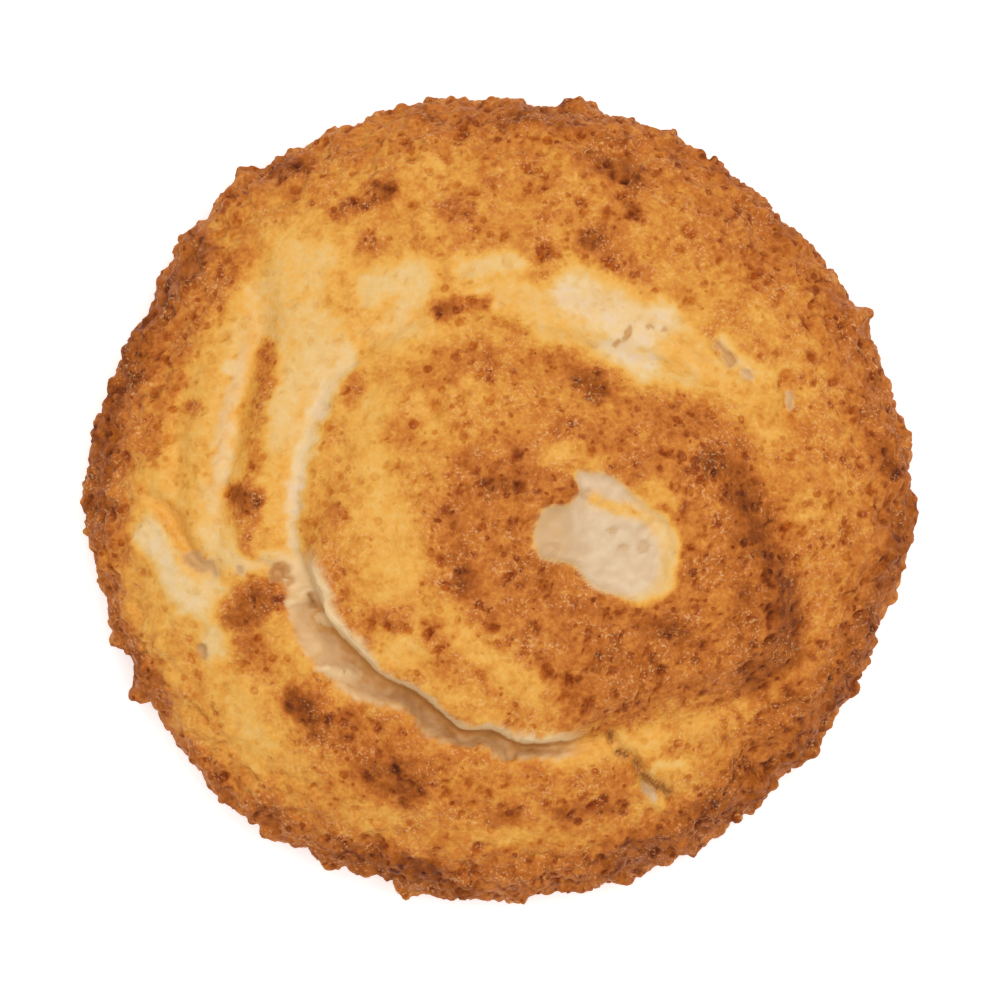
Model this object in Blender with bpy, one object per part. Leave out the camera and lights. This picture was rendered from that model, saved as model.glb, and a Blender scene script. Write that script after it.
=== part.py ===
# A coconut macaroon: one thick swirl of coconut paste, piped on a flat tray and baked until its
# ridges and its rim browned. It is a single closed solid in metres, +Z up, with the origin in the
# middle of the flat base. All sizes below are in millimetres and all angles in degrees.

import math

import bmesh
import bpy
import numpy as np
from mathutils import Vector, noise

MM = 0.001

# Overall size
WIDTH = 80.0
DEPTH = 77.2
HEIGHT = 26.0

# Side profile: where the side is widest, how high the outer ring of paste would close in the
# middle, and how far the foot pulls in on the tray
WIDEST_HEIGHT = 6.0
RING_HEIGHT = 21.6
FOOT_INSET = 1.9
TOP_FLATNESS = 2.5
SHOULDER_ROUNDNESS = 2.2

# Outline of the whole: mean radius, then slow waves as (waves around, height, angle of a crest)
MEAN_RADIUS = 38.8
OUTLINE_WAVES = ((2, 0.42, 180), (3, 0.19, 120), (4, 0.16, 9), (6, 0.26, 4), (7, 0.16, 25))

# Crusty prongs that stand out of the rim, as (angle, length), then how wide and how tall they are
RIM_PRONGS = (
    (8, 0.6), (26, 1.0), (64, 0.5), (79, 0.6), (100, 0.8), (129, 1.3), (171, 0.8), (181, 0.6),
    (200, 0.7), (208, 0.9), (236, 0.5), (274, 0.5), (288, 0.7), (322, 1.0), (337, 0.6), (355, 0.6),
)
PRONG_HALF_WIDTH = 1.1
PRONG_HALF_HEIGHT = 3.5

# The raised inner swirl: its centre, and its outline as radius by angle around that centre
SWIRL_CENTRE = (5.0, -2.75)
SWIRL_RADIUS = {
    0: 22.6, 23: 21.6, 45: 20.0, 72: 18.3, 95: 19.0, 116: 22.0, 142: 24.6, 165: 24.3, 187: 24.2,
    203: 23.5, 223: 21.7, 245: 21.2, 272: 21.0, 295: 21.2, 312: 23.3, 334: 27.1, 349: 25.4,
}

# Height of the swirl: a low crown in its middle, its mean rise, then by angle how far its edge
# stands up and how wide that edge slopes. The edge's own rise comes in between two shares of the radius
SWIRL_CROWN = 2.0
CROWN_RADIUS = 21.56
MEAN_RISE = 2.3
EDGE_RISE = {0: 2.2, 45: 1.5, 90: 1.3, 135: 1.5, 180: 2.0, 212: 3.3, 270: 3.2, 300: 2.0, 335: 2.6}
EDGE_SLOPE = {
    0: 4.0, 45: 6.5, 90: 7.0, 135: 6.0, 180: 4.5, 205: 1.4, 215: 1.3, 258: 1.3, 270: 1.4,
    300: 4.0, 335: 3.6,
}
EDGE_RISE_FROM = 0.35
EDGE_RISE_TO = 0.9

# The gap between the swirl and the outer ring, by angle: a shallow furrow for most of the way,
# wide above the swirl, and torn open into a deep crevice below left. Its inner and outer walls are
# given as shares of its width
GAP_WIDTH = {
    20: 1.6, 45: 3.2, 65: 4.6, 85: 4.4, 105: 2.6, 145: 2.4, 185: 2.4, 200: 2.8, 212: 3.6, 230: 3.1,
    246: 2.6, 262: 2.1, 276: 1.7, 292: 1.5, 334: 1.8,
}
GAP_DEPTH = {
    20: 0.5, 45: 1.2, 65: 1.9, 85: 1.7, 105: 0.8, 145: 1.3, 185: 1.8, 200: 3.2, 212: 4.6, 230: 4.6,
    246: 4.0, 262: 3.0, 276: 1.9, 292: 1.0, 334: 0.8,
}
GAP_INNER_WALL = (-0.15, 0.2)
GAP_OUTER_WALL = (0.6, 1.15)

# Folds between the coils of the outer ring and cracks in the crust, as (half width, depth, route),
# and the share of a route at which it starts and ends
CREASES = {
    "inner fold": (1.6, 2.1, ((-23.6, 22.5), (-23.4, 15.8), (-25.6, 8.0), (-27.1, 0.4), (-27.7, -4.5))),
    "outer fold": (1.3, 1.2, ((-30.4, 12.0), (-31.4, 6.0), (-31.6, -2.0))),
    "left crack": (0.9, 1.5, ((-34.6, 0.4), (-32.0, -2.2), (-30.6, -4.9), (-28.4, -7.4))),
    "bridge crack": (0.9, 2.2, ((-27.6, -6.8), (-23.4, -6.4), (-20.4, -8.6), (-18.6, -10.8))),
    "lower right crack": (1.0, 1.8, ((10.6, -23.4), (13.4, -25.9), (16.8, -28.8))),
    "upper right crack": (1.3, 1.5, ((21.4, 15.0), (23.2, 12.6), (25.2, 10.6))),
    "right crack": (1.0, 1.1, ((27.8, 10.6), (28.4, 7.4))),
    "lower left crack": (0.9, 0.9, ((-27.6, -23.2), (-24.6, -25.2))),
}
CREASE_END = 0.06

# Blisters that rose and browned first, as (x, y, radius, height), and how full they are
BLISTERS = (
    (-11.1, 29.6, 1.9, 0.7), (-3.6, 27.7, 1.7, 0.5), (10.1, 24.1, 2.6, 0.6), (-5.2, 17.9, 2.2, 0.6),
    (-23.1, 12.1, 2.1, 0.6), (-24.1, 0.2, 2.3, 0.8), (-23.7, -10.6, 3.0, 0.9),
    (-18.1, -20.4, 2.8, 0.9), (-9.5, -26.1, 4.0, 0.8), (0.4, -30.0, 1.6, 0.5),
)
BLISTER_FULLNESS = 0.6

# The bare hollow where the piped tip came away, as an ellipse: centre, half sizes, tilt and depth,
# and the shares of its radius between which its wall comes up
TIP_CENTRE = (10.4, -3.4)
TIP_HALF_SIZES = (7.4, 5.4)
TIP_TILT = -25
TIP_DEPTH = 1.1
TIP_WALL = (0.72, 1.05)

# Crumbly relief of the crust: lump sizes and heights on top and on the side, the share of the radius
# where the side's relief starts, where the top's starts to end, and how far the side's goes upwards
TOP_LUMP = 4.2
TOP_LUMP_HEIGHT = 0.5
SIDE_LUMP = 3.4
SIDE_LUMP_HEIGHT = 1.15
FINE_LUMP_SHARE = 0.6
SIDE_STARTS = 0.80
TOP_ENDS = 0.90
SIDE_LUMP_LIFT = 0.5

# Mesh density: rings of faces over the top, rings below them down the side, and how far and how
# strongly points gather at the swirl's edge: fully below the first slope, not at all above the second
TOP_RINGS = 29
SIDE_RINGS = 10
GATHER_REACH = 3.0
GATHER_STRENGTH = 1.8
GATHER_SLOPES = (1.6, 3.2)
PROFILE_STEPS = 400
ROUTE_STEPS = 60

CRUST_COLOUR = (0.50, 0.23, 0.062, 1.0)
CRUST_ROUGHNESS = 0.72
SHARP_ANGLE = 60


def smoothstep(low, high, value):
    t = np.clip((value - low) / (high - low), 0.0, 1.0)
    return t * t * (3.0 - 2.0 * t)


# A smooth closed curve through the values of a table keyed by angle.
def around(table, angle):
    keys = np.array(sorted(table), float)
    values = np.array([table[key] for key in sorted(table)], float)
    keys = np.concatenate([keys[-2:] - 360, keys, keys[:2] + 360])
    values = np.concatenate([values[-2:], values, values[:2]])
    slopes = np.gradient(values, keys)
    angle = np.mod(angle, 360)
    i = np.clip(np.searchsorted(keys, angle, side="right") - 1, 0, len(keys) - 2)
    span = keys[i + 1] - keys[i]
    t = (angle - keys[i]) / span
    return (
        (2 * t**3 - 3 * t**2 + 1) * values[i]
        + (t**3 - 2 * t**2 + t) * span * slopes[i]
        + (3 * t**2 - 2 * t**3) * values[i + 1]
        + (t**3 - t**2) * span * slopes[i + 1]
    )


# Lumpy noise of about one unit of height, for features of the given size.
def lumps(points, size, shift):
    return np.array([noise.noise(Vector((x / size + shift, y / size, z / size))) for x, y, z in points])


def outline_radius(angle):
    radius = np.full_like(angle, MEAN_RADIUS)
    for count, height, crest in OUTLINE_WAVES:
        radius += height * np.cos(count * np.radians(angle - crest))
    return radius


def prongs(angle):
    along_rim = np.radians(1.0) * MEAN_RADIUS
    length = np.zeros_like(angle)
    for where, height in RIM_PRONGS:
        away = np.abs((angle - where + 180) % 360 - 180) * along_rim
        length += height * np.exp(-((away / PRONG_HALF_WIDTH) ** 2))
    return length


# The side profile from the middle of the top to the foot, as evenly spaced (share of radius, height).
def profile(rings):
    t = np.linspace(0, math.pi / 2, PROFILE_STEPS)
    share = np.sin(t) ** (2 / TOP_FLATNESS)
    height = WIDEST_HEIGHT + (RING_HEIGHT - WIDEST_HEIGHT) * np.cos(t) ** (2 / SHOULDER_ROUNDNESS)
    foot_share = 1 - FOOT_INSET / MEAN_RADIUS * (1 - np.cos(t[1:]))
    foot_height = WIDEST_HEIGHT * (1 - np.sin(t[1:]))
    share = np.concatenate([share, foot_share])
    height = np.concatenate([height, foot_height])
    steps = np.hypot(np.diff(share) * MEAN_RADIUS, np.diff(height))
    travelled = np.concatenate([[0], np.cumsum(steps)])
    wanted = np.linspace(0, travelled[-1], rings + 1)
    return np.interp(wanted, travelled, share), np.interp(wanted, travelled, height)


def from_swirl(x, y):
    dx = x - SWIRL_CENTRE[0]
    dy = y - SWIRL_CENTRE[1]
    angle = np.degrees(np.arctan2(dy, dx)) % 360
    radius = np.hypot(dx, dy)
    return angle, radius, radius - around(SWIRL_RADIUS, angle)


# Slides points near the steep edge of the swirl towards it, so that its wall keeps a clean line.
def gathered(x, y):
    angle, radius, beyond = from_swirl(x, y)
    steep = 1 - smoothstep(*GATHER_SLOPES, around(EDGE_SLOPE, angle))
    near = np.clip(np.abs(beyond) / GATHER_REACH, 0, 1)
    closer = np.sign(beyond) * GATHER_REACH * near**GATHER_STRENGTH
    shift = np.where(near < 1, steep * (closer - beyond), 0.0) / np.maximum(radius, 1.0)
    return x + shift * (x - SWIRL_CENTRE[0]), y + shift * (y - SWIRL_CENTRE[1])


# The inner swirl: a low crown with an edge that is steep below left and soft elsewhere.
def swirl_rise(x, y):
    angle, radius, beyond = from_swirl(x, y)
    near_edge = smoothstep(EDGE_RISE_FROM, EDGE_RISE_TO, radius / around(SWIRL_RADIUS, angle))
    edge = MEAN_RISE + near_edge * (around(EDGE_RISE, angle) - MEAN_RISE)
    inside = smoothstep(0.0, 1.0, -beyond / around(EDGE_SLOPE, angle))
    crown = SWIRL_CROWN * np.clip(1 - (radius / CROWN_RADIUS) ** 2, 0, None)
    return inside * (edge + crown)


# The furrow and the crevice that run around the swirl, just outside its edge.
def gap_cut(x, y):
    angle, _, beyond = from_swirl(x, y)
    across = beyond / around(GAP_WIDTH, angle)
    cut = smoothstep(*GAP_INNER_WALL, across) * (1 - smoothstep(*GAP_OUTER_WALL, across))
    return -cut * around(GAP_DEPTH, angle)


# Depth along a smooth route through a few points, fading out at both ends.
def crease_cut(x, y, half_width, depth, route):
    points = np.array(route)
    knots = np.linspace(0, 1, len(points))
    t = np.linspace(0, 1, ROUTE_STEPS)
    degree = min(3, len(points) - 1)
    line = np.stack([np.polyval(np.polyfit(knots, points[:, i], degree), t) for i in (0, 1)], axis=1)
    away = np.hypot(x[:, None] - line[:, 0], y[:, None] - line[:, 1])
    nearest = away.argmin(axis=1)
    fade = np.sqrt(np.sin(math.pi * np.clip(t[nearest], CREASE_END, 1 - CREASE_END)))
    return -depth * fade * np.exp(-((away.min(axis=1) / half_width) ** 2))


def blister_rise(x, y):
    rise = np.zeros_like(x)
    for cx, cy, radius, height in BLISTERS:
        rise += height * np.exp(-((x - cx) ** 2 + (y - cy) ** 2) / (BLISTER_FULLNESS * radius**2))
    return rise


def tip_cut(x, y):
    tilt = math.radians(TIP_TILT)
    dx = x - TIP_CENTRE[0]
    dy = y - TIP_CENTRE[1]
    along = (dx * math.cos(tilt) + dy * math.sin(tilt)) / TIP_HALF_SIZES[0]
    across = (dy * math.cos(tilt) - dx * math.sin(tilt)) / TIP_HALF_SIZES[1]
    return -TIP_DEPTH * (1 - smoothstep(*TIP_WALL, np.hypot(along, across)))


# All the relief of the top, as height added at a place.
def top_relief(x, y):
    relief = swirl_rise(x, y) + gap_cut(x, y) + blister_rise(x, y) + tip_cut(x, y)
    for half_width, depth, route in CREASES.values():
        relief += crease_cut(x, y, half_width, depth, route)
    flat = np.stack([x, y, np.zeros_like(x)], axis=1)
    return relief + TOP_LUMP_HEIGHT * lumps(flat, TOP_LUMP, 7.0)


# Ring number and angle of every point of the blank, once its squares are turned into circles.
def ring_and_angle(blank):
    u, v, w = blank.T
    across = np.maximum(np.abs(u), np.abs(v))
    sideways = np.abs(u) >= np.abs(v)
    safe_u = np.where(sideways & (u != 0), u, 1)
    safe_v = np.where(~sideways, v, 1)
    angle = np.where(sideways, 45 * v / safe_u, 90 - 45 * u / safe_v)
    turned = np.where(sideways, u < 0, v < 0)
    return np.rint((across - w) * TOP_RINGS).astype(int), (angle + 180 * turned) % 360


# Lays every point on the form: profile first, then relief on top and crags on the side.
def shaped(ring, angle):
    share, height = profile(TOP_RINGS + SIDE_RINGS)
    share = share[ring]
    z = height[ring]
    radians = np.radians(angle)
    outward = np.stack([np.cos(radians), np.sin(radians), np.zeros_like(z)], axis=1)
    x, y = (outward[:, :2] * (share * outline_radius(angle))[:, None]).T
    x, y = gathered(x, y)
    on_top = ring <= TOP_RINGS + 1
    side = np.where(on_top, smoothstep(SIDE_STARTS, 1.0, share), 1.0)
    above_widest = np.where(on_top, 1 - smoothstep(TOP_ENDS, 1.0, share), 0.0)
    points = np.stack([x, y, z + above_widest * top_relief(x, y)], axis=1)
    crag = lumps(points, SIDE_LUMP, 0.0) + FINE_LUMP_SHARE * lumps(points, SIDE_LUMP / 2, 3.0)
    crag *= SIDE_LUMP_HEIGHT
    prong_height = np.exp(-(((z - WIDEST_HEIGHT) / PRONG_HALF_HEIGHT) ** 2))
    push = side * (crag + prong_height * prongs(angle))
    points += outward * push[:, None]
    points[:, 2] += SIDE_LUMP_LIFT * side * above_widest * crag
    points[ring == TOP_RINGS + SIDE_RINGS, 2] = 0.0
    return points


# Centres the outline on the origin and brings it to the overall size.
def fitted(points):
    low = points.min(axis=0)
    high = points.max(axis=0)
    middle = (low + high) / 2
    middle[2] = low[2]
    return (points - middle) * (np.array([WIDTH, DEPTH, HEIGHT]) / (high - low))


def clear_scene():
    for obj in list(bpy.data.objects):
        bpy.data.objects.remove(obj, do_unlink=True)


def crust_material():
    material = bpy.data.materials.new("baked_coconut")
    material.use_nodes = True
    shader = material.node_tree.nodes["Principled BSDF"]
    shader.inputs["Base Color"].default_value = CRUST_COLOUR
    shader.inputs["Roughness"].default_value = CRUST_ROUGHNESS
    shader.inputs["Metallic"].default_value = 0.0
    return material


# An open box of squares, closed by one face: the grid is the top and its border, drawn down step by
# step, is the side. A point's ring is its distance from the middle less its height.
def blank_box():
    bm = bmesh.new()
    bmesh.ops.create_grid(bm, x_segments=2 * TOP_RINGS, y_segments=2 * TOP_RINGS, size=1.0)
    rim = [edge for edge in bm.edges if edge.is_boundary]
    for step in range(SIDE_RINGS):
        made = bmesh.ops.extrude_edge_only(bm, edges=rim)["geom"]
        lower = [item for item in made if isinstance(item, bmesh.types.BMVert)]
        bmesh.ops.translate(bm, verts=lower, vec=(0.0, 0.0, -1.0 / TOP_RINGS))
        rim = [item for item in made if isinstance(item, bmesh.types.BMEdge) and item.is_boundary]
    bmesh.ops.contextual_create(bm, geom=rim)
    return bm


def macaroon_mesh():
    bm = blank_box()
    ring, angle = ring_and_angle(np.array([vert.co[:] for vert in bm.verts]))
    for vert, place in zip(bm.verts, fitted(shaped(ring, angle)) * MM):
        vert.co = place
    bmesh.ops.triangulate(bm, faces=bm.faces[:])
    bmesh.ops.recalc_face_normals(bm, faces=bm.faces[:])
    mesh = bpy.data.meshes.new("macaroon")
    bm.to_mesh(mesh)
    bm.free()
    mesh.shade_smooth()
    mesh.set_sharp_from_angle(angle=math.radians(SHARP_ANGLE))
    return mesh


def main():
    clear_scene()
    macaroon = bpy.data.objects.new("macaroon", macaroon_mesh())
    macaroon.data.materials.append(crust_material())
    bpy.context.scene.collection.objects.link(macaroon)


main()
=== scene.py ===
# Coconut macaroon, seen from straight above on a plain pale floor.
# Lengths in the dictionaries are millimetres and angles are degrees, unless a note says otherwise.
import math
import random

import bpy
import numpy as np
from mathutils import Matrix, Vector, kdtree, noise


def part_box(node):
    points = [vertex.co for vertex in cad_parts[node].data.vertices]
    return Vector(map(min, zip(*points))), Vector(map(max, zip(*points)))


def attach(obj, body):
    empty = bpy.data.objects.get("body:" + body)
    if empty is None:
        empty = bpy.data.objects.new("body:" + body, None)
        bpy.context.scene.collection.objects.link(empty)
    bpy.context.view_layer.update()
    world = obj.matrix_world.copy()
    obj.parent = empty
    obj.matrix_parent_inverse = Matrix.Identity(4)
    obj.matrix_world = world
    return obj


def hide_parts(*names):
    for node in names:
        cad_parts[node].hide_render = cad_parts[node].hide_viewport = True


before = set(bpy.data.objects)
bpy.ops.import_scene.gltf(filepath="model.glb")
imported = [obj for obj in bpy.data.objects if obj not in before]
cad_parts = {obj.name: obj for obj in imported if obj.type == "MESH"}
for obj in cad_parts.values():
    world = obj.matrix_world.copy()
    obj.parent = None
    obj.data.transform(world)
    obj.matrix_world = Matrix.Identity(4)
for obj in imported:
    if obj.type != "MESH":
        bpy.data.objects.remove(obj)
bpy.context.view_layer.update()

mm = 0.001

# The photograph's frame: its middle in pixels, and how much of the macaroon one pixel covers
photo = {"middle": (499.5, 499.0), "mmPerPixel": 0.0957}


def atPixel(px, py):
    return ((px - photo["middle"][0]) * photo["mmPerPixel"], (photo["middle"][1] - py) * photo["mmPerPixel"])


# The form of the crust, with the same sizes as the solid it replaces
form = {
    "meanRadius": 38.8,
    "outlineWaves": ((2, 0.42, 180), (3, 0.19, 120), (4, 0.16, 9), (6, 0.26, 4), (7, 0.16, 25)),
    "outlineTrim": {
        0: 1.30, 15: 0.05, 30: 0.60, 45: 0.25, 60: 0.25, 75: -0.05, 90: -0.05, 105: 0.20, 120: -0.45,
        135: 0.95, 150: 0.35, 165: 0.80, 180: 0.80, 195: 0.60, 210: 0.75, 225: 1.25, 240: 0.0, 255: 0.25,
        270: 0.45, 285: -0.05, 300: 0.35, 315: 0.25, 330: 0.40, 345: 0.40,
    },
    "swell": 1.004,
    "widestHeight": 6.0,
    "ringHeight": 21.6,
    "footInset": 1.9,
    "topFlatness": 2.5,
    "shoulderRoundness": 2.2,
    "prongs": (
        (8, 0.6), (26, 1.0), (64, 0.5), (79, 0.4), (100, 0.6), (129, 1.3), (171, 0.6), (181, 0.2),
        (200, 0.7), (208, 0.9), (236, 0.5), (274, 0.5), (288, 0.7), (322, 1.0), (337, 0.6), (355, 0.1),
    ),
    "prongHalfWidth": 1.0, "prongHalfHeight": 3.5,
    "topLump": 4.2, "topLumpHeight": 0.5,
    "sideLump": 3.4, "sideLumpHeight": 1.15, "sideLumpLift": 0.5, "sideStarts": 0.80,
}

swirl = {
    "centre": (5.0, -2.75),
    "radius": {
        0: 22.6, 23: 21.6, 45: 20.0, 72: 18.3, 95: 19.0, 116: 22.0, 142: 24.6, 165: 24.3, 187: 24.2,
        195: 23.7, 203: 23.5, 211: 22.6, 222: 21.8, 231: 20.7, 239: 20.9, 246: 21.4, 254: 20.5, 261: 21.1,
        272: 20.9, 282: 20.6, 294: 21.2, 306: 22.4, 318: 24.6, 334: 27.1, 349: 25.4,
    },
    "crown": 2.0, "meanRise": 2.3,
    "edgeRise": {
        0: 2.2, 45: 1.5, 90: 1.3, 135: 1.5, 178: 2.0, 195: 2.7, 212: 2.9, 270: 2.8, 300: 2.0, 335: 2.6,
    },
    "edgeSlope": {
        0: 4.0, 45: 6.5, 90: 7.0, 135: 6.0, 176: 4.6, 190: 1.2, 204: 0.9, 215: 0.9, 258: 0.9, 270: 1.0,
        300: 4.0, 335: 3.6,
    },
    "gapWidth": {
        20: 1.6, 45: 3.2, 65: 4.6, 85: 4.4, 105: 2.8, 145: 2.8, 185: 2.6, 196: 3.0, 205: 3.6, 215: 3.7,
        223: 3.1, 231: 2.1, 239: 2.5, 247: 1.7, 256: 2.0, 266: 1.3, 276: 1.4, 292: 1.4, 334: 1.8,
    },
    "gapDepth": {
        20: 0.4, 45: 0.9, 65: 1.4, 85: 1.3, 105: 0.7, 145: 0.9, 178: 1.0, 192: 1.3, 198: 1.9, 206: 2.7,
        214: 2.9, 230: 2.8, 246: 2.5, 262: 2.0, 276: 1.1, 292: 0.6, 334: 0.6,
    },
    "gatherReach": 3.0, "gatherStrength": 1.8,
    "lipOverhang": 0.45,
    "lipBand": {
        186: 1.3, 195: 1.5, 205: 1.4, 214: 1.1, 224: 0.85, 236: 0.8, 250: 0.8, 258: 1.05, 268: 1.1, 280: 0.9,
    },
}

# Folds and cracks: half width, depth and route
creases = {
    "inner fold": (1.6, 2.1, ((-23.6, 22.5), (-23.4, 15.8), (-25.6, 8.0), (-27.1, 0.4), (-27.7, -4.5))),
    "outer fold": (1.3, 1.2, ((-30.4, 12.0), (-31.4, 6.0), (-31.6, -2.0))),
    "left crack": (0.9, 1.5, ((-34.6, 0.4), (-32.0, -2.2), (-30.6, -4.9), (-28.4, -7.4))),
    "bridge crack": (0.9, 0.9, ((-27.6, -6.8), (-23.4, -6.4), (-20.4, -8.6), (-18.6, -10.8))),
    "lower right crack": (
        0.5, 1.5, ((10.7, -22.6), (11.7, -24.2), (13.1, -25.2), (13.9, -26.5), (14.9, -27.7), (16.6, -28.4)),
    ),
    "upper right crack": (0.5, 0.9, ((20.3, 15.8), (21.6, 14.2), (23.2, 12.4), (25.2, 10.9))),
    "right crack": (0.5, 0.8, ((27.6, 11.9), (28.2, 9.8), (27.9, 7.6), (30.2, 6.6))),
    "lower left crack": (0.9, 0.9, ((-27.6, -23.2), (-24.6, -25.2))),
}

# Small torn hollows and, with a depth below zero, raised crumbs: middle and half sizes in the photograph's
# pixels, turn, depth and how dark the bare crumb is, 0 palest to 1; the dark values of the hollows and cracks
# are painted shade
pockets = {
    "left pocket": (194, 566, 17, 9, -20, 0.6, 0.66),
    "bridge pocket": (277, 572, 15, 8, 8, 0.7, 0.92),
    "bridge pocket's foot": (286, 584, 4, 6, 0, 0.8, 0.90),
    "bridge pocket, left": (235, 571, 5, 6, 0, 0.4, 0.60),
    "ring hole": (196, 654, 4, 7, 20, 0.4, 0.80),
    "upper right pocket": (731, 352, 14, 6, -55, 0.7, 0.80),
    "upper right pocket's tail": (755, 376, 8, 5, -40, 0.3, 0.50),
    "right pocket": (798, 402, 4, 9, 0, 0.3, 0.60),
    "lower right hollow": (655, 795, 14, 5, -60, 0.4, 0.36),
    # the crack's dark line is painted shadow inside the crack
    "lower right crack, start": (615, 742, 9, 2.8, -75, 0.9, 0.94),
    "lower right crack, upper": (626, 757, 10, 3.2, -35, 0.9, 0.94),
    "lower right crack, middle": (641, 768, 10, 3.2, -60, 0.8, 0.96),
    "lower right crack, low": (652, 782, 10, 3.6, -42, 0.8, 0.96),
    "lower right crack, foot": (668, 793, 10, 3.0, -24, 0.8, 0.94),
    "patch crack": (622, 343, 9, 3, 30, 0.35, 0.88),
    "patch crack, upper": (633, 331, 7, 3, 75, 0.3, 0.84),
    "patch dots": (655, 327, 5, 3, 0, 0.3, 0.76),
    "patch dots, right": (669, 331, 4, 3, -30, 0.3, 0.76),
    "crumb cluster": (298, 600, 13, 10, 30, -0.9, 0.06),
    "crumb cluster, low": (322, 622, 10, 6, -40, -0.5, 0.04),
    "cluster's gap": (309, 603, 3.5, 8, 20, 0.8, 0.90),
    "crevice flake": (335, 673, 20, 6, -14, -0.9, 0.08),
    "crevice flake, upper": (318, 643, 20, 9, -42, -0.5, 0.44),
    "tip dimple, top": (589, 496, 4, 6, -20, 0.5, 0.40),
    "tip dimple": (616, 532, 5, 4, 0, 0.5, 0.40),
    "tip dimple, left": (550, 553, 9, 5, 40, 0.4, 0.38),
    "tip dimple, right": (648, 547, 5, 6, 0, 0.4, 0.38),
    "tip dimple, low": (628, 549, 6, 4, 0, 0.3, 0.36),
}

# Blisters: place, radius and height
blisters = (
    (-11.1, 29.6, 1.9, 0.7), (-3.6, 27.7, 1.7, 0.5), (10.1, 24.1, 2.6, 0.6), (-5.2, 17.9, 2.2, 0.6),
    (-23.1, 12.1, 2.1, 0.6), (-24.1, 0.2, 2.3, 0.8), (-23.7, -10.6, 3.0, 0.9),
    (-18.1, -20.4, 2.8, 0.9), (-9.5, -26.1, 4.0, 0.8), (0.4, -30.0, 1.6, 0.5),
)

# The bare hollow where the piped tip came away, its outline as radius by angle
tip = {
    "centre": (10.77, -3.45),
    "radius": {
        7: 6.4, 21: 5.5, 40: 4.8, 57: 4.7, 77: 5.4, 95: 6.1, 108: 6.5, 118: 6.9, 125: 5.3, 136: 5.0, 148: 5.3,
        157: 6.8, 173: 7.4, 189: 7.7, 200: 7.2, 213: 5.4, 226: 4.8, 240: 5.2, 255: 5.7, 280: 6.5, 293: 7.5,
        306: 7.9, 319: 7.9, 330: 7.2, 350: 6.9,
    },
    "depth": 1.0, "lump": 1.7, "lumpHeight": 0.55,
}

# How fine the crust's mesh is: rings of faces over the top, down the side and under the base
crustMesh = {"topRings": 112, "sideRings": 36, "baseRings": 8}


def smoothStep(low, high, value):
    t = np.clip((value - low) / (high - low), 0.0, 1.0)
    return t * t * (3.0 - 2.0 * t)


# a smooth closed curve through a table keyed by angle. Its slope at each key comes from the keys beside it
def around(table, angle):
    keys = np.array(sorted(table), float)
    values = np.array([table[key] for key in sorted(table)], float)
    keys = np.concatenate([keys[-2:] - 360, keys, keys[:2] + 360])
    values = np.concatenate([values[-2:], values, values[:2]])
    slopes = np.gradient(values, keys)
    angle = np.mod(angle, 360)
    i = np.clip(np.searchsorted(keys, angle, side="right") - 1, 0, len(keys) - 2)
    span = keys[i + 1] - keys[i]
    t = (angle - keys[i]) / span
    return (
        (2 * t**3 - 3 * t**2 + 1) * values[i]
        + (t**3 - 2 * t**2 + t) * span * slopes[i]
        + (3 * t**2 - 2 * t**3) * values[i + 1]
        + (t**3 - t**2) * span * slopes[i + 1]
    )


def softNoise(points, size, shift=(0, 0, 0)):
    return np.array([noise.noise(place) for place in (points / size + shift).tolist()])


# round lumps packed side by side: 0 in the seams, up to about 1 in the middle of each
def knobNoise(points, size, shift=(0, 0, 0)):
    gaps = np.array([noise.voronoi(place)[0][:2] for place in (points / size + shift).tolist()])
    return np.clip((gaps[:, 1] - gaps[:, 0]) * 1.5, 0, 1) ** 0.6


# points along a smooth route, close together
def smoothRoute(route, count=60):
    points = np.array(route, float)
    if len(points) == 1:
        return np.repeat(points, 2, axis=0)
    if len(points) == 2:
        return np.linspace(points[0], points[1], count)
    ends = np.concatenate([[2 * points[0] - points[1]], points, [2 * points[-1] - points[-2]]])
    line = []
    for i in range(1, len(ends) - 2):
        p0, p1, p2, p3 = ends[i - 1:i + 3]
        for t in np.linspace(0, 1, count // (len(points) - 1), endpoint=False):
            line.append(0.5 * (2 * p1 + (p2 - p0) * t + (2 * p0 - 5 * p1 + 4 * p2 - p3) * t**2
                               + (3 * p1 - p0 - 3 * p2 + p3) * t**3))
    return np.array(line + [points[-1]])


# distance from each place to a route, and how far along it the nearest point is
def fromRoute(x, y, route):
    line = smoothRoute(route)
    nearest = np.zeros(len(x), int)
    away = np.full(len(x), 1e9)
    for i, (px, py) in enumerate(line):
        distance = (x - px) ** 2 + (y - py) ** 2
        closer = distance < away
        away[closer] = distance[closer]
        nearest[closer] = i
    return np.sqrt(away), nearest / (len(line) - 1)


def outlineRadius(angle):
    radius = form["meanRadius"] + around(form["outlineTrim"], angle)
    for count, height, crest in form["outlineWaves"]:
        radius += height * np.cos(count * np.radians(angle - crest))
    return radius


def prongLength(angle):
    length = np.zeros_like(angle)
    for where, height in form["prongs"]:
        away = np.abs((angle - where + 180) % 360 - 180) * math.radians(form["meanRadius"])
        length += height * np.exp(-((away / form["prongHalfWidth"]) ** 2))
    return length


def sideProfile(rings):
    t = np.linspace(0, math.pi / 2, 800)
    rise = form["ringHeight"] - form["widestHeight"]
    share = np.sin(t) ** (2 / form["topFlatness"])
    height = form["widestHeight"] + rise * np.cos(t) ** (2 / form["shoulderRoundness"])
    footShare = 1 - form["footInset"] / form["meanRadius"] * (1 - np.cos(t[1:]))
    footHeight = form["widestHeight"] * (1 - np.sin(t[1:]))
    share = np.concatenate([share, footShare])
    height = np.concatenate([height, footHeight])
    pieces = np.hypot(np.diff(share) * form["meanRadius"], np.diff(height))
    travelled = np.concatenate([[0], np.cumsum(pieces)])
    wanted = np.linspace(0, travelled[-1], rings + 1)
    return np.interp(wanted, travelled, share), np.interp(wanted, travelled, height)


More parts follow.
